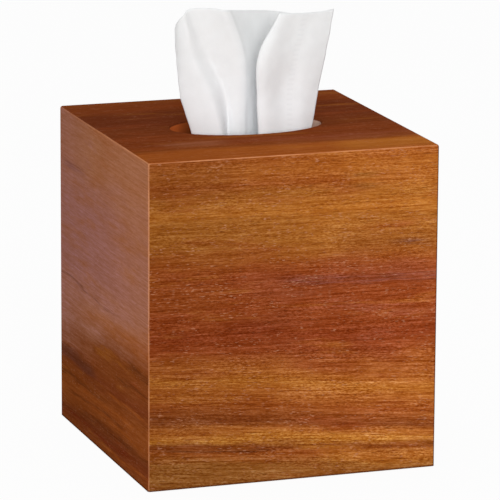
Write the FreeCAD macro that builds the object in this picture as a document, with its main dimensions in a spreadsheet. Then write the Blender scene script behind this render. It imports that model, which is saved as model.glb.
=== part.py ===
# Tissue box cover of five mitred boards over a cube carton of tissues.
# Millimetres, +Z up, origin on the table under the middle of the cover, front towards -Y.
import FreeCAD, Part
import math
import os

import Sketcher

Vector = FreeCAD.Vector
Rotation = FreeCAD.Rotation
Placement = FreeCAD.Placement

SIZES = {
    "cover_width": 133.5,
    "cover_depth": 133.5,
    "cover_height": 146.0,
    "board_thickness": 9.5,
    "arris_radius": 1.2,
    "opening_length": 70.0,
    "opening_width": 42.0,
    "opening_round": 1.0,
    "spline_thickness": 3.0,
    "spline_width": 8.0,
    "spline_inset": 4.8,
    "spline_stop": 8.0,
    "glue_gap": 0.1,
    "pad_diameter": 6.0,
    "pad_thickness": 0.5,
    "pad_inset": 5.2,
    "carton_clearance": 2.75,
    "headspace": 10.5,
    "carton_board": 0.6,
    "carton_edge_round": 1.0,
    "carton_opening_length": 66.0,
    "carton_opening_width": 34.0,
    "film_thickness": 0.2,
    "film_margin": 8.0,
    "slot_length": 59.0,
    "slot_width": 17.0,
    "stack_height": 50.0,
    "stack_clearance": 1.5,
    "stack_edge_round": 4.0,
    "tissue_thickness": 0.8,
    "tissue_clearance": 0.4,
    "tissue_bend": 2.4,
    "tissue_rise": 54.0,
    "tissue_spread_left": 32.5,
    "tissue_spread_right": 42.0,
    "tissue_crest_depth": 30.0,
}

# Corners of the sheet's path in plan, from the free end of the front flap round to the free end at the back.
# The four pairs stand for the slot, the rim, the shoulder and the crest, as shares of the half length and
# half depth there. The last number is the corner's height at the crest, as a share of the rise.
SHEET_SHARES = (
    ("flap_end", (0.73, -0.65), (0.91, -0.10), (0.86, 0.04), (0.99, 0.13), 0.93),
    ("flap_swell", (0.52, -0.73), (0.67, -0.35), (0.65, -0.35), (0.79, -0.17), 0.90),
    ("flap_fold_front", (0.07, -0.80), (0.04, -0.65), (0.03, -0.91), (0.30, -0.69), 0.95),
    ("flap_fold_back", (0.07, -0.57), (0.04, -0.56), (0.03, -0.79), (0.30, -0.57), 0.95),
    ("pocket_front", (0.70, -0.44), (0.44, -0.30), (0.41, -0.28), (0.57, 0.04), 0.89),
    ("pocket_back", (0.70, -0.21), (0.44, -0.21), (0.41, -0.16), (0.57, 0.16), 0.89),
    ("wall", (0.21, -0.03), (0.22, 0.04), (0.21, 0.09), (0.33, 0.27), 0.91),
    ("ridge", (-0.03, -0.23), (-0.10, -0.45), (-0.10, -0.58), (-0.32, -0.49), 1.00),
    ("valley", (-0.31, -0.05), (-0.33, -0.18), (-0.61, -0.11), (-0.87, 0.00), 0.98),
    ("left_ridge", (-0.56, -0.21), (-0.52, -0.27), (-0.78, -0.15), (-0.95, 0.01), 0.92),
    ("left_fold_front", (-0.87, -0.08), (-0.74, -0.07), (-0.95, 0.08), (-0.99, 0.09), 0.83),
    ("left_fold_back", (-0.87, 0.21), (-0.74, 0.04), (-0.95, 0.23), (-0.99, 0.24), 0.83),
    ("back_fold_front", (0.80, 0.29), (0.73, 0.20), (0.71, 0.37), (0.81, 0.47), 0.81),
    ("back_fold_back", (0.80, 0.52), (0.73, 0.30), (0.71, 0.51), (0.81, 0.60), 0.81),
    ("rear_end", (-0.63, 0.70), (-0.59, 0.50), (-0.71, 0.84), (-0.80, 0.96), 0.78),
)
SHOULDER_SHARE = 0.48
BEND_SHARE = 0.49
TOLERANCE = 1e-4

os.makedirs("parts", exist_ok=True)
doc = FreeCAD.newDocument("TissueBoxCover")
sheet = doc.addObject("Spreadsheet::Sheet", "Sizes")
for row, (alias, value) in enumerate(SIZES.items(), start=1):
    sheet.set(f"A{row}", alias)
    sheet.set(f"B{row}", str(value))
    sheet.setAlias(f"B{row}", alias)
doc.recompute()

BASE = "Sizes.pad_thickness"
TOP = "(Sizes.pad_thickness + Sizes.cover_height)"
UNDERSIDE = "(Sizes.pad_thickness + Sizes.cover_height - Sizes.board_thickness)"
CARTON_TOP = "(Sizes.pad_thickness + Sizes.cover_height - Sizes.board_thickness - Sizes.headspace)"
CARTON_WIDTH = "(Sizes.cover_width - 2 * Sizes.board_thickness - 2 * Sizes.carton_clearance)"
CARTON_DEPTH = "(Sizes.cover_depth - 2 * Sizes.board_thickness - 2 * Sizes.carton_clearance)"


def size(alias):
    return float(sheet.get(alias))


def bind(target, **expressions):
    for name, expression in expressions.items():
        target.setExpression(name, expression)


def new_body(name):
    body = doc.addObject("PartDesign::Body", name)
    body.Label = name
    return body


def flat_sketch(body, name, height):
    sketch = body.newObject("Sketcher::SketchObject", name)
    plane = next(item for item in body.Origin.OriginFeatures if item.Role == "XY_Plane")
    sketch.AttachmentSupport = [(plane, "")]
    sketch.MapMode = "FlatFace"
    sketch.setExpression(".AttachmentOffset.Base.z", height)
    return sketch


def add_rectangle(sketch, length, width):
    corners = [Vector(-10, -10, 0), Vector(10, -10, 0), Vector(10, 10, 0), Vector(-10, 10, 0)]
    first = sketch.GeometryCount
    for index in range(4):
        sketch.addGeometry(Part.LineSegment(corners[index], corners[(index + 1) % 4]), False)
    for index in range(4):
        sketch.addConstraint(Sketcher.Constraint("Coincident", first + index, 2, first + (index + 1) % 4, 1))
        kind = "Vertical" if index % 2 else "Horizontal"
        sketch.addConstraint(Sketcher.Constraint(kind, first + index))
    sketch.addConstraint(Sketcher.Constraint("Symmetric", first, 1, first + 2, 1, -1, 1))
    for edge, kind, expression in ((first, "DistanceX", length), (first + 1, "DistanceY", width)):
        number = sketch.addConstraint(Sketcher.Constraint(kind, edge, 1, edge, 2, 20.0))
        sketch.setExpression(f"Constraints[{number}]", expression)


def add_ellipse(sketch, length, width):
    first = sketch.GeometryCount
    sketch.addGeometry(Part.Ellipse(Vector(30, 0, 0), Vector(0, 15, 0), Vector(0, 0, 0)), False)
    sketch.exposeInternalGeometry(first)
    major = first + 1
    minor = first + 2
    sketch.addConstraint(Sketcher.Constraint("Coincident", first, 3, -1, 1))
    sketch.addConstraint(Sketcher.Constraint("Horizontal", major))
    for axis, kind, expression in ((major, "DistanceX", length), (minor, "DistanceY", width)):
        span = sketch.Geometry[axis].EndPoint - sketch.Geometry[axis].StartPoint
        ends = (1, 2) if span.x + span.y > 0 else (2, 1)
        number = sketch.addConstraint(Sketcher.Constraint(kind, axis, ends[0], axis, ends[1], span.Length))
        sketch.setExpression(f"Constraints[{number}]", expression)


def pad_up(body, sketch, name, length):
    pad = body.newObject("PartDesign::Pad", name)
    pad.Profile = sketch
    bind(pad, Length=length)
    doc.recompute()
    return pad


def pocket(body, sketch, name, length, upwards):
    before = body.Shape.Volume
    cut = body.newObject("PartDesign::Pocket", name)
    cut.Profile = sketch
    cut.Reversed = upwards
    bind(cut, Length=length)
    doc.recompute()
    if body.Shape.Volume >= before:
        raise RuntimeError(f"{name} removed nothing")
    return cut


def edge_names(shape, wanted):
    return [f"Edge{index}" for index, edge in enumerate(shape.Edges, start=1) if wanted(edge)]


def is_upright(edge):
    box = edge.BoundBox
    return box.XLength < TOLERANCE and box.YLength < TOLERANCE


def lies_at(edge, height):
    box = edge.BoundBox
    return abs(box.ZMin - height) < TOLERANCE and abs(box.ZMax - height) < TOLERANCE


def stays_within(edge, reach):
    box = edge.BoundBox
    return max(-box.XMin, box.XMax) < reach


def round_edges(body, base, name, wanted, radius):
    fillet = body.newObject("PartDesign::Fillet", name)
    fillet.Base = (base, edge_names(base.Shape, wanted))
    bind(fillet, Radius=radius)
    doc.recompute()
    return fillet


def boolean(kind, name, base, tool):
    result = doc.addObject(kind, name)
    result.Base = base
    result.Tool = tool
    result.Label = name
    return result


def centred_box(name, lengths, growth, centre, rotation):
    box = doc.addObject("Part::Box", name)
    for side, expression in zip(("Length", "Width", "Height"), lengths):
        bind(box, **{side: f"{expression} + 2 * {growth}"})
    doc.recompute()
    sides = Vector(box.Length.Value, box.Width.Value, box.Height.Value)
    box.Placement = Placement(centre, rotation) * Placement(sides * -0.5, Rotation())
    box.Label = name
    return box


base = size("pad_thickness")
top = base + size("cover_height")
underside = top - size("board_thickness")
carton_top = underside - size("headspace")
half_width = size("cover_width") / 2
half_depth = size("cover_depth") / 2
UP = Vector(0, 0, 1)
ACROSS = Vector(1, 0, 0)

parts = []

# Outer block with every outside arris rounded, shared by the five boards.
block = new_body("eased_block")
block_sketch = flat_sketch(block, "block_outline", BASE)
add_rectangle(block_sketch, "Sizes.cover_width", "Sizes.cover_depth")
block_pad = pad_up(block, block_sketch, "block_pad", "Sizes.cover_height")
round_edges(
    block, block_pad, "block_arrises", lambda edge: is_upright(edge) or lies_at(edge, top), "Sizes.arris_radius"
)

# Hidden splines and the grooves that take them.
mitre_length = size("board_thickness") * math.sqrt(2)
spline_reach = (mitre_length - size("spline_inset")) / math.sqrt(2)
upright_run = "Sizes.cover_height - Sizes.board_thickness - 2 * Sizes.spline_stop"
upright_middle = (base + underside) / 2
splines = []
grooves = []


def add_spline(name, lengths, centre, rotation):
    splines.append(centred_box(name, lengths, "0", centre, rotation))
    grooves.append(centred_box(f"{name}_groove", lengths, "Sizes.glue_gap", centre, rotation))


for side_y, front_back in ((-1, "front"), (1, "back")):
    for side_x, left_right in ((-1, "left"), (1, "right")):
        add_spline(
            f"corner_spline_{front_back}_{left_right}",
            ("Sizes.spline_width", "Sizes.spline_thickness", upright_run),
            Vector(side_x * (half_width - spline_reach), side_y * (half_depth - spline_reach), upright_middle),
            Rotation(UP, -45 * side_x * side_y),
        )

SIDES = (
    ("front", 0, "Sizes.cover_width", "Sizes.cover_depth", half_depth),
    ("right", 90, "Sizes.cover_depth", "Sizes.cover_width", half_width),
    ("back", 180, "Sizes.cover_width", "Sizes.cover_depth", half_depth),
    ("left", 270, "Sizes.cover_depth", "Sizes.cover_width", half_width),
)
for side, angle, span, reach, half_reach in SIDES:
    turn = Rotation(UP, angle)
    add_spline(
        f"top_spline_{side}",
        (
            f"{span} - 2 * Sizes.board_thickness - 2 * Sizes.spline_stop",
            "Sizes.spline_width",
            "Sizes.spline_thickness",
        ),
        turn.multVec(Vector(0, spline_reach - half_reach, top - spline_reach)),
        turn.multiply(Rotation(ACROSS, 45)),
    )

groove_set = doc.addObject("Part::MultiFuse", "spline_grooves")
groove_set.Shapes = grooves
doc.recompute()

# Four side boards, mitred on both upright edges and along the top.
for side, angle, span, reach, half_reach in SIDES:
    wedge = doc.addObject("Part::Wedge", f"{side}_board")
    bind(
        wedge,
        Ymin=f"-{reach} / 2",
        Ymax=f"-{reach} / 2 + Sizes.board_thickness",
        Xmin=f"-{span} / 2",
        Xmax=f"{span} / 2",
        X2min=f"-{span} / 2 + Sizes.board_thickness",
        X2max=f"{span} / 2 - Sizes.board_thickness",
        Zmin=BASE,
        Zmax=TOP,
        Z2min=BASE,
        Z2max=UNDERSIDE,
    )
    wedge.Placement = Placement(Vector(0, 0, 0), Rotation(UP, angle))
    eased = boolean("Part::Common", f"{side}_eased", wedge, block)
    parts.append(boolean("Part::Cut", f"{side}_panel", eased, groove_set))

# Top board with the oval opening, mitred on its four edges.
lid = doc.addObject("Part::Wedge", "top_board")
bind(
    lid,
    Ymin=UNDERSIDE,
    Ymax=TOP,
    Xmin="-Sizes.cover_width / 2 + Sizes.board_thickness",
    Xmax="Sizes.cover_width / 2 - Sizes.board_thickness",
    X2min="-Sizes.cover_width / 2",
    X2max="Sizes.cover_width / 2",
    Zmin="-Sizes.cover_depth / 2 + Sizes.board_thickness",
    Zmax="Sizes.cover_depth / 2 - Sizes.board_thickness",
    Z2min="-Sizes.cover_depth / 2",
    Z2max="Sizes.cover_depth / 2",
)
lid.Placement = Placement(Vector(0, 0, 0), Rotation(ACROSS, 90))
mouth = new_body("opening_cutter")
mouth_sketch = flat_sketch(mouth, "opening_outline", UNDERSIDE + " - Sizes.opening_round")
add_ellipse(mouth_sketch, "Sizes.opening_length", "Sizes.opening_width")
pad_up(mouth, mouth_sketch, "opening_pad", "Sizes.board_thickness + 2 * Sizes.opening_round")
lid_eased = boolean("Part::Common", "top_eased", lid, block)
lid_grooved = boolean("Part::Cut", "top_grooved", lid_eased, groove_set)
lid_open = boolean("Part::Cut", "top_open", lid_grooved, mouth)
doc.recompute()
rim_edges = [
    index
    for index, edge in enumerate(lid_open.Shape.Edges, start=1)
    if lies_at(edge, top) and stays_within(edge, half_width - size("board_thickness"))
]
top_panel = doc.addObject("Part::Fillet", "top_panel")
top_panel.Base = lid_open
top_panel.Edges = [(index, size("opening_round"), size("opening_round")) for index in rim_edges]
top_panel.Label = "top_panel"
parts.append(top_panel)
parts.extend(splines)

# Felt pads under the mitred corners.
for side_y, front_back in ((-1, "front"), (1, "back")):
    for side_x, left_right in ((-1, "left"), (1, "right")):
        disc = doc.addObject("Part::Cylinder", f"foot_pad_{front_back}_{left_right}")
        bind(disc, Radius="Sizes.pad_diameter / 2", Height="Sizes.pad_thickness")
        inset = size("pad_inset")
        disc.Placement = Placement(
            Vector(side_x * (half_width - inset), side_y * (half_depth - inset), 0), Rotation()
        )
        disc.Label = disc.Name
        parts.append(disc)

# Paperboard carton, hollow, with the oval cut-out in its top.
carton = new_body("carton")
carton_sketch = flat_sketch(carton, "carton_outline", "0")
add_rectangle(carton_sketch, CARTON_WIDTH, CARTON_DEPTH)
carton_pad = pad_up(carton, carton_sketch, "carton_block", CARTON_TOP)
round_edges(carton, carton_pad, "carton_folds", is_upright, "Sizes.carton_edge_round")
hollow_sketch = flat_sketch(carton, "hollow_outline", "Sizes.carton_board")
carton_walls = "2 * Sizes.carton_board"
add_rectangle(hollow_sketch, f"{CARTON_WIDTH} - {carton_walls}", f"{CARTON_DEPTH} - {carton_walls}")
pocket(carton, hollow_sketch, "carton_hollow", f"{CARTON_TOP} - {carton_walls}", True)
cutout_sketch = flat_sketch(carton, "cutout_outline", f"{CARTON_TOP} - {carton_walls}")
add_ellipse(cutout_sketch, "Sizes.carton_opening_length", "Sizes.carton_opening_width")
pocket(carton, cutout_sketch, "carton_cutout", "3 * Sizes.carton_board", True)
parts.append(carton)

# Film glued under the carton top, with its slot.
film = new_body("slit_film")
film_sketch = flat_sketch(film, "film_outline", f"{CARTON_TOP} - Sizes.carton_board - Sizes.film_thickness")
add_rectangle(
    film_sketch,
    "Sizes.carton_opening_length + 2 * Sizes.film_margin",
    "Sizes.carton_opening_width + 2 * Sizes.film_margin",
)
add_ellipse(film_sketch, "Sizes.slot_length", "Sizes.slot_width")
pad_up(film, film_sketch, "film_sheet", "Sizes.film_thickness")
parts.append(film)

# Sheets left in the carton.
stack = new_body("tissue_stack")
stack_sketch = flat_sketch(stack, "stack_outline", "Sizes.carton_board")
stack_margin = "2 * (Sizes.carton_board + Sizes.stack_clearance)"
add_rectangle(stack_sketch, f"{CARTON_WIDTH} - {stack_margin}", f"{CARTON_DEPTH} - {stack_margin}")
stack_pad = pad_up(stack, stack_sketch, "stack_block", "Sizes.stack_height")
stack_top = size("carton_board") + size("stack_height")
round_edges(stack, stack_pad, "stack_edges", lambda edge: lies_at(edge, stack_top), "Sizes.stack_edge_round")
parts.append(stack)


# Standing tissue: one folded ribbon in plan, carried up through the film and the opening.
def section_points(shares, left, right, depth):
    return [Vector(x * (right if x > 0 else left), y * depth, 0) for x, y in shares]


def turn_angle(before, corner, after):
    incoming = (corner - before).normalize()
    outgoing = (after - corner).normalize()
    return math.atan2(incoming.x * outgoing.y - incoming.y * outgoing.x, incoming.dot(outgoing))


def bend_radius(points, index):
    """Radius of the sheet's middle line at a corner, kept inside the shorter neighbour."""
    corner = points[index]
    room = BEND_SHARE * min((points[index - 1] - corner).Length, (points[index + 1] - corner).Length)
    slope = math.tan(abs(turn_angle(points[index - 1], corner, points[index + 1])) / 2)
    return min(size("tissue_bend"), room / slope)


def side_edges(points, shift, heights):
    """Lines and arcs of one face of the sheet, shifted sideways from its middle line."""
    knots = []
    last = len(points) - 1
    for index, corner in enumerate(points):
        if index in (0, last):
            along = (points[1] - points[0]) if index == 0 else (points[last] - points[last - 1])
            along.normalize()
            knots.append([corner + Vector(-along.y, along.x, 0) * shift])
            continue
        incoming = (corner - points[index - 1]).normalize()
        outgoing = (points[index + 1] - corner).normalize()
        angle = turn_angle(points[index - 1], corner, points[index + 1])
        radius = bend_radius(points, index)
        hand = math.copysign(1.0, angle)
        start = corner - incoming * radius * math.tan(abs(angle) / 2)
        middle = start + Vector(-incoming.y, incoming.x, 0) * radius * hand
        reach = radius - shift * hand
        normals = [Vector(incoming.y, -incoming.x, 0) * hand, Vector(outgoing.y, -outgoing.x, 0) * hand]
        between = (normals[0] + normals[1]).normalize()
        knots.append([middle + normal * reach for normal in (normals[0], between, normals[1])])
    for knot, height in zip(knots, heights):
        for point in knot:
            point.z = height
    edges = []
    for before, after in zip(knots, knots[1:]):
        edges.append(Part.LineSegment(before[-1], after[0]).toShape())
        if len(after) == 3:
            edges.append(Part.Arc(*after).toShape())
    return edges


def section_sides(points, heights):
    """Both faces of the sheet at one level, always with the same run of edges."""
    half = size("tissue_thickness") / 2
    return side_edges(points, half, heights), side_edges(points, -half, heights)


def outline_edges(outer, inner):
    """The two faces and the sheet's two free ends."""
    ends = [
        Part.LineSegment(inner[index].Vertexes[end].Point, outer[index].Vertexes[end].Point).toShape()
        for index, end in ((0, 0), (-1, -1))
    ]
    return outer + inner + ends


gap = size("tissue_clearance") + size("tissue_thickness") / 2
slot_shares, rim_shares, shoulder_shares, crest_shares, crest_rises = list(zip(*SHEET_SHARES))[1:]
slot_reach = size("slot_length") / 2 - gap
slot = section_points(slot_shares, slot_reach, slot_reach, size("slot_width") / 2 - gap)
rim_reach = size("opening_length") / 2 - gap
rim = section_points(rim_shares, rim_reach, rim_reach, size("opening_width") / 2 - gap)
spreads = (size("tissue_spread_left"), size("tissue_spread_right"), size("tissue_crest_depth") / 2)
shoulder = section_points(shoulder_shares, *spreads)
crest = section_points(crest_shares, *spreads)
rise = size("tissue_rise")
level_sections = (
    (stack_top + size("tissue_clearance"), slot),
    (carton_top + size("tissue_clearance"), slot),
    (underside, rim),
    (top, rim),
    (top + SHOULDER_SHARE * rise, shoulder),
)
sections = [section_sides(points, [height] * len(points)) for height, points in level_sections]
sections.append(section_sides(crest, [top + share * rise for share in crest_rises]))
outlines = [outline_edges(*sides) for sides in sections]
faces = [Part.makeRuledSurface(*pair) for low, high in zip(outlines, outlines[1:]) for pair in zip(low, high)]
for outer, inner in (sections[0], sections[-1]):
    faces.extend(Part.makeRuledSurface(*pair) for pair in zip(outer, inner))
skin = Part.makeShell(faces)
skin.sewShape()
sheet_solid = Part.Solid(skin)
if sheet_solid.Volume < 0:
    sheet_solid.reverse()
tissue = doc.addObject("Part::Feature", "pop_up_tissue")
tissue.Shape = sheet_solid
tissue.Label = "pop_up_tissue"
parts.append(tissue)

doc.recompute()
for item in doc.Objects:
    if "Invalid" in item.State or "Error" in item.State:
        raise RuntimeError(f"{item.Label}: {item.State}")
for part in parts:
    if part.Shape.isNull() or not part.Shape.isValid():
        raise RuntimeError(f"{part.Label} has no valid shape")
    part.Shape.exportStep(f"parts/{part.Label}.step")
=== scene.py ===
import math

import bmesh
import bpy
import numpy as np
from mathutils import Matrix, Vector, noise


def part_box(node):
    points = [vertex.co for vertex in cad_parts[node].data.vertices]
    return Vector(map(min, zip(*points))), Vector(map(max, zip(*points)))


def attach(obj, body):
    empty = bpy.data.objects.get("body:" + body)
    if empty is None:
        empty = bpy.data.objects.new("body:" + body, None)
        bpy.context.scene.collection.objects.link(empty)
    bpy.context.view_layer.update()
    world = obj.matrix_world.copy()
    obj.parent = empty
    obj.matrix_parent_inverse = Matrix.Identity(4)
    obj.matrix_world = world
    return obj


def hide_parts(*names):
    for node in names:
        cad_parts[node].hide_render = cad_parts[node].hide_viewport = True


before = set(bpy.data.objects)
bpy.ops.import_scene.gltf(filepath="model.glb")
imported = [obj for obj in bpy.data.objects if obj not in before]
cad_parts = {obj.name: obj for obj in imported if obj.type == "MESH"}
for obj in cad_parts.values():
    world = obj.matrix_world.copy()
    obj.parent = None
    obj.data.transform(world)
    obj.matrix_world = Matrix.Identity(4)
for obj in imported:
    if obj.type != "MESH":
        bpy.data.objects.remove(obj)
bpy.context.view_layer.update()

MM = 0.001
ALONG_X, ALONG_Y, UP = 0, 1, 2
TOP_LOW, TOP_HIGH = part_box("top_panel")
RIM = TOP_HIGH.z
COVER_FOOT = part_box("front_panel")[0].z
FILM_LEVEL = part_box("slit_film")[1].z
STACK_LOW, STACK_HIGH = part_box("tissue_stack")


def srgb(red, green, blue):
    """Linear colour from the 0 to 255 values of a screen colour."""
    shares = [value / 255 for value in (red, green, blue)]
    return tuple(s / 12.92 if s < 0.04045 else ((s + 0.055) / 1.055) ** 2.4 for s in shares) + (1.0,)


class Paint:
    """One node material, built call by call."""

    def __init__(self, name):
        self.material = bpy.data.materials.new(name)
        self.material.use_nodes = True
        self.tree = self.material.node_tree
        self.shader = self.tree.nodes["Principled BSDF"]
        place = self.add("ShaderNodeTexCoord")
        self.object_place = place.outputs["Object"]
        self.sheet_place = place.outputs["UV"]

    def add(self, kind, inputs=None, **settings):
        node = self.tree.nodes.new(kind)
        for name, value in settings.items():
            setattr(node, name, value)
        for key, value in (inputs or {}).items():
            self.feed(node.inputs[key], value)
        return node

    def feed(self, socket, value):
        if isinstance(value, bpy.types.NodeSocket):
            self.tree.links.new(value, socket)
        else:
            socket.default_value = value

    def set(self, **values):
        for name, value in values.items():
            self.feed(self.shader.inputs[name.replace("_", " ")], value)

    def math(self, operation, first, second=0.0):
        return self.add("ShaderNodeMath", {0: first, 1: second}, operation=operation).outputs[0]

    def times(self, first, *others):
        for other in others:
            first = self.math("MULTIPLY", first, other)
        return first

    def split(self, vector):
        return self.add("ShaderNodeSeparateXYZ", {0: vector}).outputs

    def join(self, x, y, z):
        return self.add("ShaderNodeCombineXYZ", {0: x, 1: y, 2: z}).outputs[0]

    def normal(self):
        return self.split(self.add("ShaderNodeNewGeometry").outputs["Normal"])

    def span(self, value, low, high, start=0.0, end=1.0):
        """Smooth step from start to end while the value goes from low to high."""
        inputs = {"Value": value, "From Min": low, "From Max": high, "To Min": start, "To Max": end}
        return self.add("ShaderNodeMapRange", inputs, interpolation_type="SMOOTHSTEP").outputs[0]

    def noise(self, vector, scale=1.0, detail=3.0, rough=0.5):
        inputs = {"Vector": vector, "Scale": scale, "Detail": detail, "Roughness": rough}
        return self.add("ShaderNodeTexNoise", inputs).outputs[0]

    def ramp(self, value, stops):
        node = self.add("ShaderNodeValToRGB", {0: value})
        elements = node.color_ramp.elements
        while len(elements) < len(stops):
            elements.new(0.5)
        for element, (place, colour) in zip(elements, stops):
            element.position = place
            element.color = colour
        return node.outputs[0]

    def mix(self, share, first, second, mode="MIX"):
        node = self.add("ShaderNodeMix", {0: share, 6: first, 7: second}, data_type="RGBA", blend_type=mode)
        return node.outputs[2]

    def bump(self, height, depth, strength=1.0):
        inputs = {"Height": height, "Distance": depth, "Strength": strength}
        return self.add("ShaderNodeBump", inputs).outputs[0]


# Tones of the acacia boards.
TONES = {
    "gold": srgb(186, 117, 44),
    "honey": srgb(176, 105, 40),
    "amber": srgb(166, 93, 36),
    "straw": srgb(163, 97, 38),
    "brown": srgb(154, 80, 32),
    "russet": srgb(144, 66, 28),
    "garnet": srgb(136, 58, 24),
    "umber": srgb(130, 66, 28),
    "bay": srgb(122, 58, 27),
    "dark": srgb(113, 54, 26),
    "chestnut": srgb(107, 50, 26),
    # The next four tones paint the satin reflection of bright surroundings: a painted sheen on the left
    # board, and on a patch of the top.
    "painted_sheen_mauve": srgb(168, 115, 106),
    "painted_sheen_haze": srgb(174, 116, 84),
    "painted_sheen_mist": srgb(178, 121, 100),
    "tan": srgb(168, 104, 68),
    "plum": srgb(88, 52, 42),
    "dusk": srgb(116, 68, 62),
    "oxblood": srgb(112, 40, 16),
    "wheat": srgb(150, 91, 38),
    "rose": srgb(150, 84, 62),
    # pale is rubbed wear with a painted highlight on the arrises that face the light.
    "pale": srgb(218, 152, 108),
    # pore also paints the shade on the far arrises.
    "pore": srgb(74, 34, 16),
    "fleck": srgb(204, 148, 116),
    "cut": srgb(172, 86, 40),
    # The next two tones are painted light on the opening's walls: a pale bounce and a red glow.
    "painted_bounce_pale": srgb(246, 204, 182),
    "painted_glow_red": srgb(212, 106, 50),
}

# Bands that run along the grain: a distance across the board in millimetres, and the tone there.
FRONT_BANDS = (
    (1, "wheat"), (8, "wheat"), (13, "brown"), (16, "umber"), (19, "gold"), (22, "amber"), (26, "umber"),
    (34, "brown"), (41, "amber"), (45, "honey"), (48, "amber"), (54, "brown"), (60, "russet"), (66, "garnet"),
    (74, "russet"), (84, "russet"), (92, "russet"), (98, "brown"), (106, "straw"), (114, "straw"),
    (118, "straw"), (122, "honey"), (128, "straw"), (134, "brown"), (141, "amber"), (147, "brown"),
)
LEFT_BANDS = (
    (1, "umber"), (5, "bay"), (9, "dark"), (13, "umber"), (20, "umber"), (27, "umber"), (32, "bay"),
    (40, "umber"), (50, "umber"), (60, "brown"), (147, "brown"),
)
RIGHT_BANDS = (
    (1, "brown"), (16, "russet"), (30, "umber"), (38, "brown"), (52, "honey"), (60, "amber"), (78, "russet"),
    (92, "brown"), (104, "gold"), (110, "amber"), (126, "brown"), (138, "russet"), (147, "brown"),
)
BACK_BANDS = (
    (1, "umber"), (12, "brown"), (28, "amber"), (34, "gold"), (40, "brown"), (58, "russet"), (76, "amber"),
    (88, "honey"), (96, "brown"), (112, "russet"), (124, "umber"), (134, "amber"), (147, "brown"),
)
TOP_BANDS = (
    (-67, "brown"), (-48, "brown"), (-43, "umber"), (-34, "bay"), (-20, "bay"), (-8, "dark"), (4, "dark"),
    (12, "chestnut"), (38, "chestnut"), (46, "bay"), (56, "bay"), (67, "umber"),
)

# Single streaks: place across the board and half width, start and end along it, tone and strength.
FRONT_STROKES = (
    (136.5, 2.4, 25, 37, "pore", 0.60),
    (130.5, 2.4, 26, 36, "pore", 0.70),
    (105.6, 2.8, 47, 60, "plum", 0.70),
    (89.5, 2.8, -4, 70, "dusk", 0.40),
    (79.5, 1.2, 0, 70, "amber", 0.45),
    (69.5, 4.5, -32, -4, "oxblood", 0.45),
    (58.5, 3.2, 2, 46, "oxblood", 0.35),
    (13.8, 1.1, -75, -8, "pore", 0.40),
    (136.0, 13.0, 24, 75, "gold", 0.32),
    (138.0, 12.0, -75, -28, "umber", 0.35),
    (84.0, 8.0, -75, -32, "brown", 0.40),
    (58.0, 6.0, 52, 75, "amber", 0.40),
    (11.5, 6.0, 14, 75, "gold", 0.42),
    (105.0, 7.0, 20, 75, "umber", 0.35),
    (53.6, 5.0, 0, 30, "garnet", 0.55),
    (16.0, 2.6, 2, 24, "gold", 0.60),
    (20.0, 2.6, 50, 75, "brown", 0.50),
)
LEFT_STROKES = (
    (122.0, 4.0, 30, 60, "dusk", 0.40),
    (48.0, 2.4, -75, -38, "pore", 0.40),
    (41.0, 1.4, -75, -20, "pore", 0.35),
    (20.0, 9.0, -75, 75, "brown", 0.35),
    (34.0, 5.0, 14, 75, "plum", 0.50),
    (69.5, 1.1, -22, 75, "pore", 0.32),
    (25.0, 1.4, -6, 75, "pore", 0.35),
    (11.5, 1.6, -75, 34, "pore", 0.35),
    (29.5, 1.4, -62, -8, "brown", 0.60),
    (22.0, 1.3, -45, 34, "brown", 0.60),
    (18.6, 1.6, -34, 52, "pore", 0.32),
    (15.4, 1.3, -60, 10, "brown", 0.60),
    (7.0, 1.6, -40, 60, "oxblood", 0.50),
    (3.6, 1.3, -75, 0, "brown", 0.60),
)
# The top's second streak is a painted sheen near the front-left of the opening.
TOP_STROKES = ((-55.0, 14.0, 24, 75, "gold", 0.36), (-33.0, 10.0, -48, -22, "painted_sheen_haze", 0.24))
# Millimetres by which a streak's end fades either way, and the half width below which the grain breaks it up.
STROKE_FADE = 8
FRAYED_BELOW = 5

# Noise in the wood: turns per metre along and across the grain, detail and roughness.
PATTERNS = {
    "sway": (9.0, 60.0, 3.0, 0.6),
    "cloud": (16.0, 90.0, 5.0, 0.66),
    "patch": (20.0, 100.0, 5.0, 0.68),
    "frayed": (60.0, 1500.0, 2.0, 0.5),
    "lines": (26.0, 1000.0, 4.0, 0.64),
    "hairs": (130.0, 1800.0, 2.0, 0.6),
    "ribbon": (60.0, 16.0, 2.0, 0.5),
    "grit": (620.0, 1900.0, 2.0, 0.7),
    "dense": (34.0, 140.0, 3.0, 0.6),
    "pores": (190.0, 1900.0, 1.0, 0.5),
    "flecks": (460.0, 2100.0, 1.0, 0.5),
    "groups": (110.0, 260.0, 3.0, 0.6),
}
# How far each pattern lightens and darkens the wood.
LINE_SWINGS = {"lines": 0.28, "hairs": 0.25, "ribbon": 0.07}
GRIT_SWING = 0.35
# Pale grain is greyer and dark grain redder: the powers of red, green and blue in its light and dark.
SHADE_POWERS = (0.75, 1.25, 2.3)
# Bands lean fully below the second height, and by a fifth of that above the first.
LEAN_HEIGHTS = (0.078, 0.038)
UPPER_LEAN = 0.2
SWAY_REACH = 0.016
BOARD_END = 0.070
# Rosy patches fade out from the second place to the first, at either end of a board.
ROSY_ENDS = ((-0.042, 0.032), (0.080, 0.040))
# Edges nearer to the middle than this belong to the opening, and stay as cut.
OUTER_EDGES = 0.060


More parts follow.
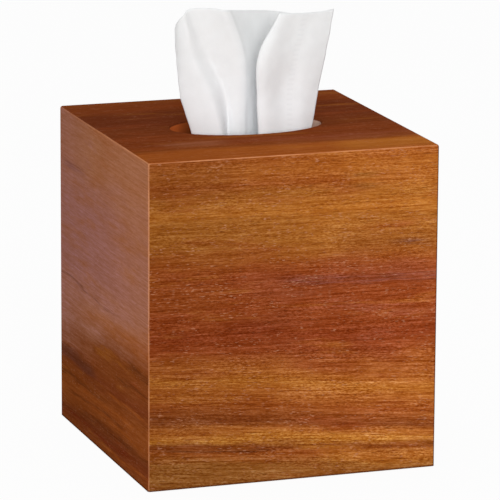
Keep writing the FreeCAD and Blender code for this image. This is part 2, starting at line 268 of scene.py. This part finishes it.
class Board(Paint):
    """Satin acacia, drawn along and across the grain of one board."""

    def __init__(self, name, along, across, lean, shift):
        super().__init__(name)
        self.place = self.split(self.object_place)
        self.length = self.place[along]
        self.grain = self.math("ADD", self.length, shift)
        self.depth = self.place[3 - along - across]
        self.made = {}
        slope = self.span(self.place[across], *LEAN_HEIGHTS, UPPER_LEAN * lean, lean)
        self.tilted = self.math("ADD", self.place[across], self.times(self.length, slope))
        sway = self.math("SUBTRACT", self.streaks("sway"), 0.5)
        self.level = self.math("ADD", self.tilted, self.times(sway, SWAY_REACH))

    def streaks(self, name):
        if name not in self.made:
            along, across, detail, rough = PATTERNS[name]
            sides = [self.times(self.grain, along)]
            sides += [self.times(part, across) for part in (self.tilted, self.depth)]
            self.made[name] = self.noise(self.join(*sides), 1.0, detail, rough)
        return self.made[name]

    def banded(self, bands):
        """The bands' tones, and the share of the way across the board."""
        first = bands[0][0] * MM
        last = bands[-1][0] * MM
        share = self.math("DIVIDE", self.math("SUBTRACT", self.level, first), last - first)
        stops = [((height * MM - first) / (last - first), TONES[tone]) for height, tone in bands]
        return self.ramp(share, stops), share

    def clouded(self, colour, mottle, blush):
        """Red and honey clouds, and rosy patches between two heights."""
        cloud = self.streaks("cloud")
        middle = (blush[0] + blush[1]) / 2
        rosy = self.span(self.streaks("patch"), 0.42, 0.64, 0.04 * mottle, 0.55 * mottle)
        rosy = self.times(rosy, *[self.span(self.level, height, middle) for height in blush])
        rosy = self.times(rosy, *[self.span(self.length, outer, inner) for outer, inner in ROSY_ENDS])
        colour = self.mix(self.span(cloud, 0.52, 0.72, 0.0, 0.60 * mottle), colour, TONES["russet"])
        colour = self.mix(self.span(cloud, 0.47, 0.30, 0.0, 0.50 * mottle), colour, TONES["honey"])
        return self.mix(rosy, colour, TONES["rose"])

    def stroked(self, colour, strokes):
        frayed = self.span(self.streaks("frayed"), 0.38, 0.62, 0.35, 1.3)
        for height, reach, start, end, tone, strength in strokes:
            beside = self.math("ABSOLUTE", self.math("SUBTRACT", self.level, height * MM))
            streak = self.span(beside, reach * MM, 0.2 * reach * MM, 0.0, strength)
            for place, fade in ((start, STROKE_FADE), (end, -STROKE_FADE)):
                streak = self.times(streak, self.span(self.length, (place - fade) * MM, (place + fade) * MM))
            if reach < FRAYED_BELOW:
                streak = self.times(streak, frayed)
            colour = self.mix(streak, colour, TONES[tone])
        return colour

    def lined(self, colour, share, fade, grade):
        """Light and dark lines, stronger low on the board, under painted light that is brighter at one end of
        the grain, then pores and groups of pale flecks.
        """
        dense = self.span(self.streaks("dense"), 0.38, 0.62, 0.45, 1.2)
        grit = self.times(self.math("SUBTRACT", self.streaks("grit"), 0.5), dense)
        swing = GRIT_SWING * grade**2
        light = self.span(grit, -0.22, 0.22, 1 - swing, 1 + swing)
        for name, full_swing in LINE_SWINGS.items():
            swing = full_swing * grade
            light = self.times(light, self.span(self.streaks(name), 0.28, 0.72, 1 - swing, 1 + swing))
        light = self.math("POWER", light, self.span(share, 0.25, 0.85, 1.15, 0.86))
        # Painted light: one end of each board's grain brighter than the other, from how the light falls.
        painted_end_light = self.span(self.length, -BOARD_END, BOARD_END, *fade)
        shades = [self.times(painted_end_light, self.math("POWER", light, power)) for power in SHADE_POWERS]
        colour = self.mix(1.0, colour, self.join(*shades), "MULTIPLY")
        pores = self.span(self.streaks("pores"), 0.62, 0.76, 0.0, 0.40 * grade)
        colour = self.mix(pores, colour, TONES["pore"])
        flecks = self.span(self.streaks("flecks"), 0.58, 0.70)
        groups = self.span(self.streaks("groups"), 0.45, 0.65, 0.15, 1.0)
        return self.mix(self.times(flecks, groups, 0.48 * grade), colour, TONES["fleck"])

    def eased_with_painted_light(self, colour):
        """Rubbed outer arrises with a painted highlight where they face the light, painted shade on the far
        side, and a dark line along the foot.
        """
        normal = self.normal()
        sizes = [self.math("ABSOLUTE", part) for part in normal]
        widest = self.math("MAXIMUM", self.math("MAXIMUM", sizes[0], sizes[1]), sizes[2])
        reach = self.math("MAXIMUM", *[self.math("ABSOLUTE", part) for part in self.place[:2]])
        outside = self.math("GREATER_THAN", reach, OUTER_EDGES)
        facing = self.math("SUBTRACT", self.math("SUBTRACT", normal[2], normal[0]), normal[1])
        # Painted highlight: rounded outer arrises that face the light turn pale, most toward the front.
        painted_edge_highlight = self.times(self.span(widest, 0.88, 0.78), self.span(facing, 1.05, 1.25))
        painted_edge_highlight = self.times(painted_edge_highlight, self.span(self.place[1], 0.050, -0.064, 0.10, 1.0))
        # Patches where the pale edge shows: part rubbed wear, part painted highlight.
        wear_and_highlight_patches = self.span(self.noise(self.object_place, 60.0, 3.0, 0.6), 0.35, 0.65, 0.30, 0.72)
        # Painted shade on the rounded arrises that face away from the light.
        painted_shade_and_dark_foot = self.times(self.span(widest, 0.999, 0.95), self.span(facing, 0.75, 0.35))
        # A dark line along the lowest millimetre of the foot.
        foot = self.span(self.place[2], COVER_FOOT + 0.0010, COVER_FOOT + 0.0004)
        painted_shade_and_dark_foot = self.math("MAXIMUM", painted_shade_and_dark_foot, foot)
        # Pale outer arrises: rubbed wear with a painted highlight.
        colour = self.mix(self.times(painted_edge_highlight, outside, wear_and_highlight_patches), colour, TONES["pale"])
        # The pore tone paints shade on the far arrises, and the dark line along the foot.
        return self.mix(self.times(painted_shade_and_dark_foot, outside, 0.7), colour, TONES["pore"])

    def finished(self, colour):
        lines = self.streaks("lines")
        relief = self.math("SUBTRACT", self.times(lines, 0.4), self.streaks("pores"))
        self.set(
            Base_Color=colour,
            Roughness=self.span(lines, 0.25, 0.75, 0.42, 0.56),
            Specular_IOR_Level=0.0,
            Normal=self.bump(relief, 0.00010, 0.5),
        )
        return self.material


def painted_sheen_cover(board, colour):
    """Painted sheen: the satin reflection of bright surroundings on the upper part of the left board, with a
    soft slanting lower edge.
    """
    place = board.place
    patch = board.streaks("patch")
    drift = board.times(board.math("SUBTRACT", board.streaks("cloud"), 0.5), 0.050)
    edge = board.math("ADD", board.math("ADD", place[2], board.times(place[1], 0.19)), drift)
    height = board.math("DIVIDE", board.math("ADD", place[2], drift), RIM)
    # Painted reflection: a milky sheen that changes with height, in patches and toward the front or back.
    tones = ((0.30, "painted_sheen_haze"), (0.42, "painted_sheen_mist"), (0.55, "painted_sheen_mauve"), (0.72, "painted_sheen_mauve"), (0.88, "painted_sheen_haze"), (1.0, "painted_sheen_haze"))
    painted_sheen_colour = board.ramp(height, [(share, TONES[tone]) for share, tone in tones])
    painted_sheen_colour = board.mix(board.span(patch, 0.48, 0.66, 0.0, 0.75), painted_sheen_colour, TONES["tan"])
    painted_sheen_colour = board.mix(board.span(patch, 0.46, 0.30, 0.0, 0.60), painted_sheen_colour, TONES["painted_sheen_mauve"])
    painted_sheen_colour = board.mix(board.span(place[1], 0.020, -0.066, 0.0, 0.55), painted_sheen_colour, TONES["painted_sheen_haze"])
    painted_sheen_colour = board.mix(board.span(place[1], 0.010, 0.066, 0.0, 0.50), painted_sheen_colour, TONES["painted_sheen_mauve"])
    return board.mix(board.span(edge, 0.041, 0.064, 0.0, 0.80), colour, painted_sheen_colour)


def opening_wall(board, colour):
    """End grain round the opening, partly painted light: brighter against its shade, darker lower down as
    painted shade, with a painted pale bounce at its right end and a painted red glow at its left end.
    """
    place = board.place
    normal = board.normal()
    upright = board.span(board.math("ABSOLUTE", normal[2]), 0.45, 0.10)
    inside = board.span(board.math("ABSOLUTE", place[0]), 0.042, 0.038)
    wall = board.times(upright, inside)
    # End grain tone, set brighter than the shade in the opening would leave it: partly its own colour, partly
    # painted light.
    colour = board.mix(board.times(wall, 0.85), colour, TONES["cut"])
    # Painted shade: darker lower down, deeper into the opening.
    colour = board.mix(1.0, colour, board.span(place[2], TOP_LOW.z, RIM - 0.001, 0.5, 1.0), "MULTIPLY")
    # Painted light by which way the wall faces: a pale bounce from the tissue on the right end, a red glow on
    # the left end.
    painted_bounce_at_right_end = board.times(wall, board.span(normal[0], -0.35, -0.75))
    painted_glow_at_left_end = board.times(wall, board.span(normal[0], 0.35, 0.75))
    colour = board.mix(painted_bounce_at_right_end, colour, TONES["painted_bounce_pale"])
    return board.mix(painted_glow_at_left_end, colour, TONES["painted_glow_red"])


def wood(name, along, across, bands, strokes, lean, shift, fade, grade, mottle, blush, cover=None, cut=None):
    """Lean tilts the lower bands, shift moves the pattern along, fade is the painted light at each end of the
    grain, grade the strength of the lines and mottle that of the clouds. Blush gives the heights between
    which rosy patches show. Cover lays tones over the bands, such as a painted sheen, and cut lays tones over
    all of the wood, such as painted light and shade on the opening's walls."""
    board = Board(name, along, across, lean, shift)
    colour, share = board.banded(bands)
    colour = board.clouded(colour, mottle, blush)
    if cover:
        colour = cover(board, colour)
    colour = board.stroked(colour, strokes)
    colour = board.lined(colour, share, fade, grade)
    if cut:
        colour = cut(board, colour)
    return board.finished(board.eased_with_painted_light(colour))


# Each board's fade is painted light along its grain.
BOARDS = {
    "front_panel": dict(
        along=ALONG_X, across=UP, bands=FRONT_BANDS, strokes=FRONT_STROKES,
        lean=0.085, shift=0.0, fade=(0.76, 1.10), grade=1.0, mottle=1.0, blush=(0.044, 0.114),
    ),
    "right_panel": dict(
        along=ALONG_Y, across=UP, bands=RIGHT_BANDS, strokes=(),
        lean=-0.05, shift=0.83, fade=(1.06, 0.94), grade=0.9, mottle=0.9, blush=(0.066, 0.096),
    ),
    "back_panel": dict(
        along=ALONG_X, across=UP, bands=BACK_BANDS, strokes=(),
        lean=0.07, shift=1.27, fade=(0.92, 1.06), grade=0.9, mottle=0.9, blush=(0.050, 0.070),
    ),
    "left_panel": dict(
        along=ALONG_Y, across=UP, bands=LEFT_BANDS, strokes=LEFT_STROKES,
        lean=0.03, shift=0.41, fade=(1.15, 0.95), grade=0.4, mottle=0.8, blush=(0.03, 0.12),
        # The left board's cover is its painted sheen.
        cover=painted_sheen_cover,
    ),
    "top_panel": dict(
        along=ALONG_X, across=ALONG_Y, bands=TOP_BANDS, strokes=TOP_STROKES,
        lean=0.0, shift=1.73, fade=(0.98, 1.08), grade=0.45, mottle=0.6, blush=(-0.05, -0.02),
        cut=opening_wall,
    ),
}

CARTON_BAND = (0.040, 0.0415)
SHEET_SIDE = 0.200
SHEET_PLY = 0.0002
BOND_INSET = 0.0125
BOND_PITCH = 0.0030
CREPE_TURNS = (500.0, 2200.0)
# Height over which the tissue's painted light near the rim fades out.
PAINTED_LIGHT_RISE = 0.050


def ply_wood():
    paint = Paint("spline_ply")
    grain = paint.noise(paint.add("ShaderNodeMapping", {0: paint.object_place, 3: (900, 900, 60)}).outputs[0])
    colour = paint.ramp(grain, ((0.3, srgb(176, 132, 88)), (0.7, srgb(214, 176, 128))))
    paint.set(Base_Color=colour, Roughness=0.7, Normal=paint.bump(grain, 0.0001, 0.5))
    return paint.material


def felt():
    paint = Paint("felt")
    fibre = paint.noise(paint.object_place, 2600.0, 4.0, 0.7)
    colour = paint.ramp(fibre, ((0.3, srgb(62, 52, 45)), (0.7, srgb(96, 84, 74))))
    paint.set(Base_Color=colour, Roughness=0.95, Sheen_Weight=0.3, Normal=paint.bump(fibre, 0.0003, 0.8))
    return paint.material


def paperboard():
    """Plain coated board with faint fibres and a grey-blue lower band."""
    paint = Paint("paperboard")
    place = paint.split(paint.object_place)
    fibre = paint.noise(paint.object_place, 900.0, 4.0, 0.6)
    colour = paint.mix(paint.span(place[2], *CARTON_BAND), srgb(176, 190, 196), srgb(232, 233, 230))
    tint = paint.ramp(fibre, ((0.3, srgb(236, 236, 236)), (0.7, srgb(255, 255, 255))))
    paint.set(
        Base_Color=paint.mix(1.0, colour, tint, "MULTIPLY"),
        Roughness=paint.span(fibre, 0.3, 0.7, 0.45, 0.6),
        Normal=paint.bump(fibre, 0.00005, 0.4),
    )
    return paint.material


def clear_film():
    paint = Paint("clear_film")
    ripple = paint.noise(paint.object_place, 120.0, 3.0, 0.5)
    colour = paint.ramp(ripple, ((0.3, srgb(226, 232, 236)), (0.7, srgb(246, 248, 250))))
    paint.set(Base_Color=colour, Roughness=0.16, Alpha=0.42, Normal=paint.bump(ripple, 0.0006, 0.6))
    return paint.material


def tissue_paper():
    """Two-ply paper: painted lighter and cooler low down against the shade and warm bounce near the rim, fine
    crepe across it and bonding dashes along each side edge.
    """
    paint = Paint("tissue_paper")
    place = paint.split(paint.sheet_place)
    crepe_place = [paint.times(place[axis], turns) for axis, turns in enumerate(CREPE_TURNS)]
    crepe = paint.noise(paint.join(*crepe_place, 0.0), 1.0, 3.0)
    cloud = paint.noise(paint.object_place, 160.0, 3.0, 0.55)
    edge = paint.math("MINIMUM", place[0], paint.math("SUBTRACT", SHEET_SIDE, place[0]))
    line = paint.span(paint.math("ABSOLUTE", paint.math("SUBTRACT", edge, BOND_INSET)), 0.0014, 0.0008)
    dashes = paint.span(paint.math("SINE", paint.times(place[1], 2 * math.pi / BOND_PITCH)), 0.1, 0.5)
    bond = paint.times(line, dashes)
    # Painted light: the paper is lighter and bluer near the rim, offsetting the shade and warm bounce there.
    rise = paint.span(paint.split(paint.object_place)[2], RIM, RIM + PAINTED_LIGHT_RISE)
    tint = paint.mix(rise, srgb(246, 248, 250), srgb(238, 239, 239))
    colour = paint.ramp(cloud, ((0.3, srgb(251, 251, 251)), (0.7, srgb(255, 255, 255))))
    colour = paint.mix(1.0, tint, colour, "MULTIPLY")
    colour = paint.mix(paint.times(bond, 0.09), colour, srgb(205, 207, 212))
    relief = paint.math("SUBTRACT", paint.times(crepe, 0.5), paint.times(bond, 0.3))
    paint.set(
        Base_Color=colour,
        Roughness=0.92,
        Specular_IOR_Level=0.2,
        Normal=paint.bump(relief, 0.00018, 0.5),
    )
    return paint.material


def dress(nodes, material):
    for node in nodes:
        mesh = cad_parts[node].data
        mesh.materials.clear()
        mesh.materials.append(material)


def finished_piece(name, mesh):
    data = bpy.data.meshes.new(name)
    mesh.to_mesh(data)
    mesh.free()
    piece = bpy.data.objects.new(name, data)
    bpy.context.scene.collection.objects.link(piece)
    return piece


# Fold lines of the standing tissue, from the free right edge round to the free edge at the back.
# Each gives x, y in millimetres at the slot, the three levels and the top edge, then the top edge's height.
# Heights count from the rim.
LEVELS = (-5.0, 16.0, 33.0)
FOLDS = (
    ("right_edge", (21, -5.4), (26.6, -9.6), (31.7, -7.6), (35.5, -6.6), (39.6, -4.8), 51.1),
    ("flap_ridge", (15, -5.8), (20.8, -12.6), (23.5, -10.9), (27.1, -9.8), (31.9, -7.4), 50.7),
    ("flap_hollow", (8, -5.4), (12.0, -14.2), (13.4, -12.0), (15.9, -11.6), (21.8, -10.4), 51.1),
    ("flap_swell", (4, -6.0), (3.8, -16.6), (3.4, -16.2), (4.4, -16.2), (14.8, -12.6), 51.7),
    ("flap_fold", (2, -5.8), (0.8, -15.2), (0.3, -14.8), (0.9, -14.8), (11.8, -11.8), 52.0),
    ("pocket", (20, -2.8), (14.0, -5.4), (15.0, -4.6), (18.0, -3.4), (25.0, 0.6), 48.0),
    ("wall", (6, 1.0), (7.2, -2.6), (8.4, 0.6), (11.0, 4.4), (13.8, 6.4), 49.8),
    ("wall_near", (2.4, -0.6), (-1.0, -6.6), (-0.8, -6.0), (-1.4, -5.8), (-7.8, -6.4), 53.2),
    ("crease", (0.2, -1.6), (-3.4, -8.4), (-3.4, -7.8), (-4.1, -8.2), (-11.2, -9.4), 53.9),
    ("ridge", (-1, -1.8), (-5.6, -9.0), (-6.0, -8.2), (-7.3, -8.8), (-14.6, -10.4), 54.4),
    ("shoulder", (-4, -1.8), (-8.4, -8.2), (-9.4, -7.0), (-14.5, -6.6), (-21.2, -7.4), 55.0),
    ("valley", (-7, -1.0), (-10.4, -6.7), (-12.2, -5.7), (-19.6, -5.2), (-28.2, -6.4), 54.8),
    ("left_ridge", (-14, -2.6), (-15.4, -12.2), (-20.5, -10.9), (-27.4, -9.0), (-31.8, -8.0), 52.7),
    ("left_fold", (-25, -0.8), (-26.4, -6.6), (-31.9, -5.0), (-33.8, -4.4), (-34.4, -4.8), 48.3),
    ("back_left", (-18, 3.2), (-17.0, 6.4), (-20.0, 7.4), (-22.0, 9.6), (-24.0, 11.4), 44.5),
    ("back_middle", (0, 3.6), (3.0, 7.0), (2.0, 7.4), (1.0, 9.8), (0.0, 13.0), 43.5),
    ("back_fold", (23, 2.8), (25.0, 5.0), (28.0, 6.0), (31.0, 8.8), (34.0, 12.4), 44.0),
    ("rear_hollow", (8, 6.2), (9.0, 10.4), (10.0, 11.2), (11.0, 13.2), (12.0, 15.8), 43.0),
    ("rear_edge", (-18, 5.2), (-20.0, 10.0), (-22.0, 11.8), (-24.0, 13.8), (-26.0, 15.6), 42.0),
)
# Gap between the two layers of a turn, and how much lower the second one ends.
TURNS = {"flap_fold": (1.6, 0.0), "pocket": (1.6, 0.0), "left_fold": (1.8, 3.0), "back_fold": (2.0, 0.0)}
STACK_GAP = 0.0004
# Fine creases: turns per metre and depth, growing to full depth over the first stretch above the rim.
CREASES = ((70.0, 0.00050), (190.0, 0.00026))
CREASE_RISE = 0.02


def hermite(places, values, wanted):
    """Smooth curve through values, for each wanted place, with no overshoot at the ends."""
    places = np.asarray(places, float)
    values = np.asarray(values, float)
    steps = np.diff(places)[:, None]
    slopes = np.diff(values, axis=0) / steps
    inner = (slopes[:-1] * steps[1:] + slopes[1:] * steps[:-1]) / (steps[:-1] + steps[1:])
    tangents = np.vstack([slopes[:1], inner, slopes[-1:]])
    index = np.clip(np.searchsorted(places, wanted, side="right") - 1, 0, len(places) - 2)
    step = steps[index]
    t = ((np.asarray(wanted) - places[index]) / step[:, 0])[:, None]
    return (
        (2 * t**3 - 3 * t**2 + 1) * values[index]
        + (t**3 - 2 * t**2 + t) * step * tangents[index]
        + (3 * t**2 - 2 * t**3) * values[index + 1]
        + (t**3 - t**2) * step * tangents[index + 1]
    )


def fold_columns(rows):
    """Each fold line as a column of points from the stack to the top edge; a turn has two."""
    columns = []
    foot = (STACK_HIGH.z + STACK_GAP - RIM) / MM
    slot = (FILM_LEVEL - RIM) / MM
    for name, at_slot, at_rim, low, high, crest, top in FOLDS:
        plan = [at_slot, at_slot, at_rim, low, high, crest]
        gap, drop = TURNS.get(name, (0.0, 0.0))
        layers = ((-gap / 2, top), (gap / 2, top - drop)) if gap else ((0.0, top),)
        for offset, end in layers:
            heights = [foot, slot, *LEVELS, end]
            points = np.column_stack([plan, heights])
            column = hermite(heights, points, np.linspace(foot, end, rows))
            columns.append(column + (0.0, offset, 0.0))
    return np.array(columns)


def tissue_sheet(rows=150, across=300):
    """The tissue as one smooth grid through its fold lines, with its flat place as the texture's place."""
    columns = fold_columns(rows)
    gaps = np.linalg.norm(np.diff(columns, axis=0), axis=2).mean(axis=1)
    places = np.concatenate([[0.0], np.cumsum(np.sqrt(gaps))])
    wanted = np.linspace(0.0, places[-1], across)
    grid = np.stack([hermite(places, columns[:, row], wanted) for row in range(rows)], axis=1)
    grid = grid * MM + (0.0, 0.0, RIM)
    mesh = bmesh.new()
    verts = [[mesh.verts.new(point) for point in line] for line in grid]
    layer = mesh.loops.layers.uv.new("sheet")
    widths = np.concatenate([[0.0], np.cumsum(np.linalg.norm(np.diff(grid, axis=0), axis=2).mean(axis=1))])
    widths *= SHEET_SIDE / widths[-1]
    lengths = np.linspace(0.0, SHEET_SIDE, rows)
    for i in range(across - 1):
        for j in range(rows - 1):
            corners = ((i, j), (i + 1, j), (i + 1, j + 1), (i, j + 1))
            face = mesh.faces.new([verts[a][b] for a, b in corners])
            face.smooth = True
            for loop, (a, b) in zip(face.loops, corners):
                loop[layer].uv = (widths[a], lengths[b])
    mesh.normal_update()
    for vert in mesh.verts:
        crease = sum(noise.noise(vert.co * turns) * depth for turns, depth in CREASES)
        share = min(1.0, max(0.0, (vert.co.z - RIM) / CREASE_RISE))
        vert.co += vert.normal * crease * share
    return finished_piece("standing_tissue", mesh)


# Layers of the stack: their number, corner radius, how far they lie out of line, and their rounded side.
LAYER_COUNT = 30
LAYER_CORNER = 0.004
CORNER_POINTS = 10
LAYER_DRIFT = 0.0005
LAYER_SIDE = ((0.02, 0.0012), (0.25, 0.0006), (0.5, 0.0005), (0.75, 0.0006), (0.98, 0.0012))


def layer_outline(half_x, half_y):
    """Points round a rectangle with rounded corners, about its centre."""
    points = []
    for quarter in range(4):
        middle = math.pi / 4 + quarter * math.pi / 2
        turn_x = math.copysign(half_x - LAYER_CORNER, math.cos(middle))
        turn_y = math.copysign(half_y - LAYER_CORNER, math.sin(middle))
        for step in range(CORNER_POINTS):
            angle = math.pi / 2 * (quarter + step / (CORNER_POINTS - 1))
            round_part = Vector((math.cos(angle), math.sin(angle), 0.0)) * LAYER_CORNER
            points.append(Vector((turn_x, turn_y, 0.0)) + round_part)
    return points


def tissue_layers():
    """Interfolded sheets left in the carton: thin rounded layers, each a little out of line."""
    mesh = bmesh.new()
    centre = (STACK_LOW + STACK_HIGH) / 2
    half = (STACK_HIGH - STACK_LOW) / 2
    thickness = (STACK_HIGH.z - STACK_LOW.z) / LAYER_COUNT
    for index in range(LAYER_COUNT):
        low = STACK_LOW.z + index * thickness
        drift = Vector((math.sin(index * 2.3), math.cos(index * 1.7), 0.0)) * LAYER_DRIFT
        rings = []
        for rise, inset in LAYER_SIDE:
            spot = Vector((centre.x, centre.y, low + rise * thickness)) + drift
            outline = layer_outline(half.x - inset - LAYER_DRIFT, half.y - inset - LAYER_DRIFT)
            rings.append([mesh.verts.new(spot + point) for point in outline])
        total = len(rings[0])
        for lower, upper in zip(rings, rings[1:]):
            for k in range(total):
                after = (k + 1) % total
                mesh.faces.new((lower[k], lower[after], upper[after], upper[k])).smooth = True
        mesh.faces.new(list(reversed(rings[0])))
        mesh.faces.new(rings[-1])
    return finished_piece("tissue_layers", mesh)


for board_name, look in BOARDS.items():
    dress([board_name], wood(f"acacia_{board_name}", **look))
dress([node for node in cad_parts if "spline" in node], ply_wood())
dress([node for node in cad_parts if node.startswith("foot_pad")], felt())
dress(["carton"], paperboard())
dress(["slit_film"], clear_film())

paper = tissue_paper()
tissue = tissue_sheet()
tissue.data.materials.append(paper)
thickness = tissue.modifiers.new("two_ply", "SOLIDIFY")
thickness.thickness = SHEET_PLY
thickness.offset = 0.0
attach(tissue, "tissue")
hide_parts("pop_up_tissue")

layers = tissue_layers()
layers.data.materials.append(paper)
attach(layers, "refill")
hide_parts("tissue_stack")


# Stage: pale floor, soft dome and large lamps, camera where the photograph was taken from.
TABLE_TOP = 0.0
FLOOR_RADIUS = 4.0
FLOOR_GLOW = 0.955
DOME_STRENGTH = 0.44
# Each lamp's place, the point it faces, its size and its power.
LAMPS = {
    "key": ((-0.55, -2.15, 0.9), (0.0, 0.0, 0.09), 1.6, 34.0),
    "top_fill": ((-0.3, 0.4, 2.2), (0.0, 0.0, 0.1), 1.2, 9.0),
}
IMAGE_SIDE = 500
FOCAL_PIXELS = 4139.0
SENSOR_WIDTH = 36.0
CAMERA_TURN = math.radians(-19.09)
CAMERA_RISE = math.radians(13.20)
CAMERA_ROLL = math.radians(0.34)
# Right, up and back from the middle of the cover's foot.
CAMERA_OFFSET = (0.00281, 0.08613, 1.881)
VIEW_END = 20.0


def floor():
    paint = Paint("studio_floor")
    cloud = paint.noise(paint.object_place, 3.0, 2.0)
    colour = paint.ramp(cloud, ((0.3, (0.72, 0.72, 0.72, 1)), (0.7, (0.76, 0.76, 0.76, 1))))
    rays = paint.add("ShaderNodeLightPath").outputs
    seen = rays["Is Camera Ray"]
    for kind in ("Is Glossy Ray", "Is Transmission Ray"):
        seen = paint.math("MAXIMUM", seen, rays[kind])
    glow = paint.add("ShaderNodeEmission", {"Color": (1.0, 1.0, 1.0, 1.0), "Strength": 1.0}).outputs[0]
    lift = paint.add("ShaderNodeMixShader", {0: paint.times(seen, FLOOR_GLOW), 2: glow})
    paint.feed(lift.inputs[1], paint.shader.outputs[0])
    paint.feed(paint.tree.nodes["Material Output"].inputs["Surface"], lift.outputs[0])
    paint.set(Base_Color=colour, Roughness=0.9, Specular_IOR_Level=0.0)
    mesh = bmesh.new()
    bmesh.ops.create_circle(mesh, cap_ends=True, radius=FLOOR_RADIUS, segments=96)
    piece = finished_piece("studio_floor", mesh)
    piece.location.z = TABLE_TOP
    piece.data.materials.append(paint.material)


def lamp(name, place, target, size, power):
    data = bpy.data.lights.new(name, "AREA")
    data.shape = "DISK"
    data.size = size
    data.energy = power
    piece = bpy.data.objects.new(name, data)
    piece.location = place
    piece.rotation_euler = (Vector(target) - Vector(place)).to_track_quat("-Z", "Y").to_euler()
    bpy.context.scene.collection.objects.link(piece)


def dome():
    world = bpy.data.worlds.new("studio_dome")
    world.use_nodes = True
    background = world.node_tree.nodes["Background"]
    background.inputs["Color"].default_value = (1.0, 1.0, 1.0, 1.0)
    background.inputs["Strength"].default_value = DOME_STRENGTH
    bpy.context.scene.world = world


def camera():
    back = Vector((
        math.sin(CAMERA_TURN) * math.cos(CAMERA_RISE),
        -math.cos(CAMERA_TURN) * math.cos(CAMERA_RISE),
        math.sin(CAMERA_RISE),
    ))
    level = Vector((math.cos(CAMERA_TURN), math.sin(CAMERA_TURN), 0.0))
    upright = back.cross(level)
    right = math.cos(CAMERA_ROLL) * level + math.sin(CAMERA_ROLL) * upright
    above = math.cos(CAMERA_ROLL) * upright - math.sin(CAMERA_ROLL) * level
    base = Vector((0.0, 0.0, COVER_FOOT))
    spot = base + right * CAMERA_OFFSET[0] + above * CAMERA_OFFSET[1] + back * CAMERA_OFFSET[2]
    data = bpy.data.cameras.new("camera")
    data.sensor_width = SENSOR_WIDTH
    data.lens = FOCAL_PIXELS / IMAGE_SIDE * SENSOR_WIDTH
    data.clip_end = VIEW_END
    piece = bpy.data.objects.new("camera", data)
    turn = Matrix((right, above, back)).transposed().to_4x4()
    piece.matrix_world = Matrix.Translation(spot) @ turn
    bpy.context.scene.collection.objects.link(piece)
    bpy.context.scene.camera = piece


floor()
dome()
for lamp_name, settings in LAMPS.items():
    lamp(lamp_name, *settings)
camera()
bpy.context.scene.view_settings.view_transform = "Standard"
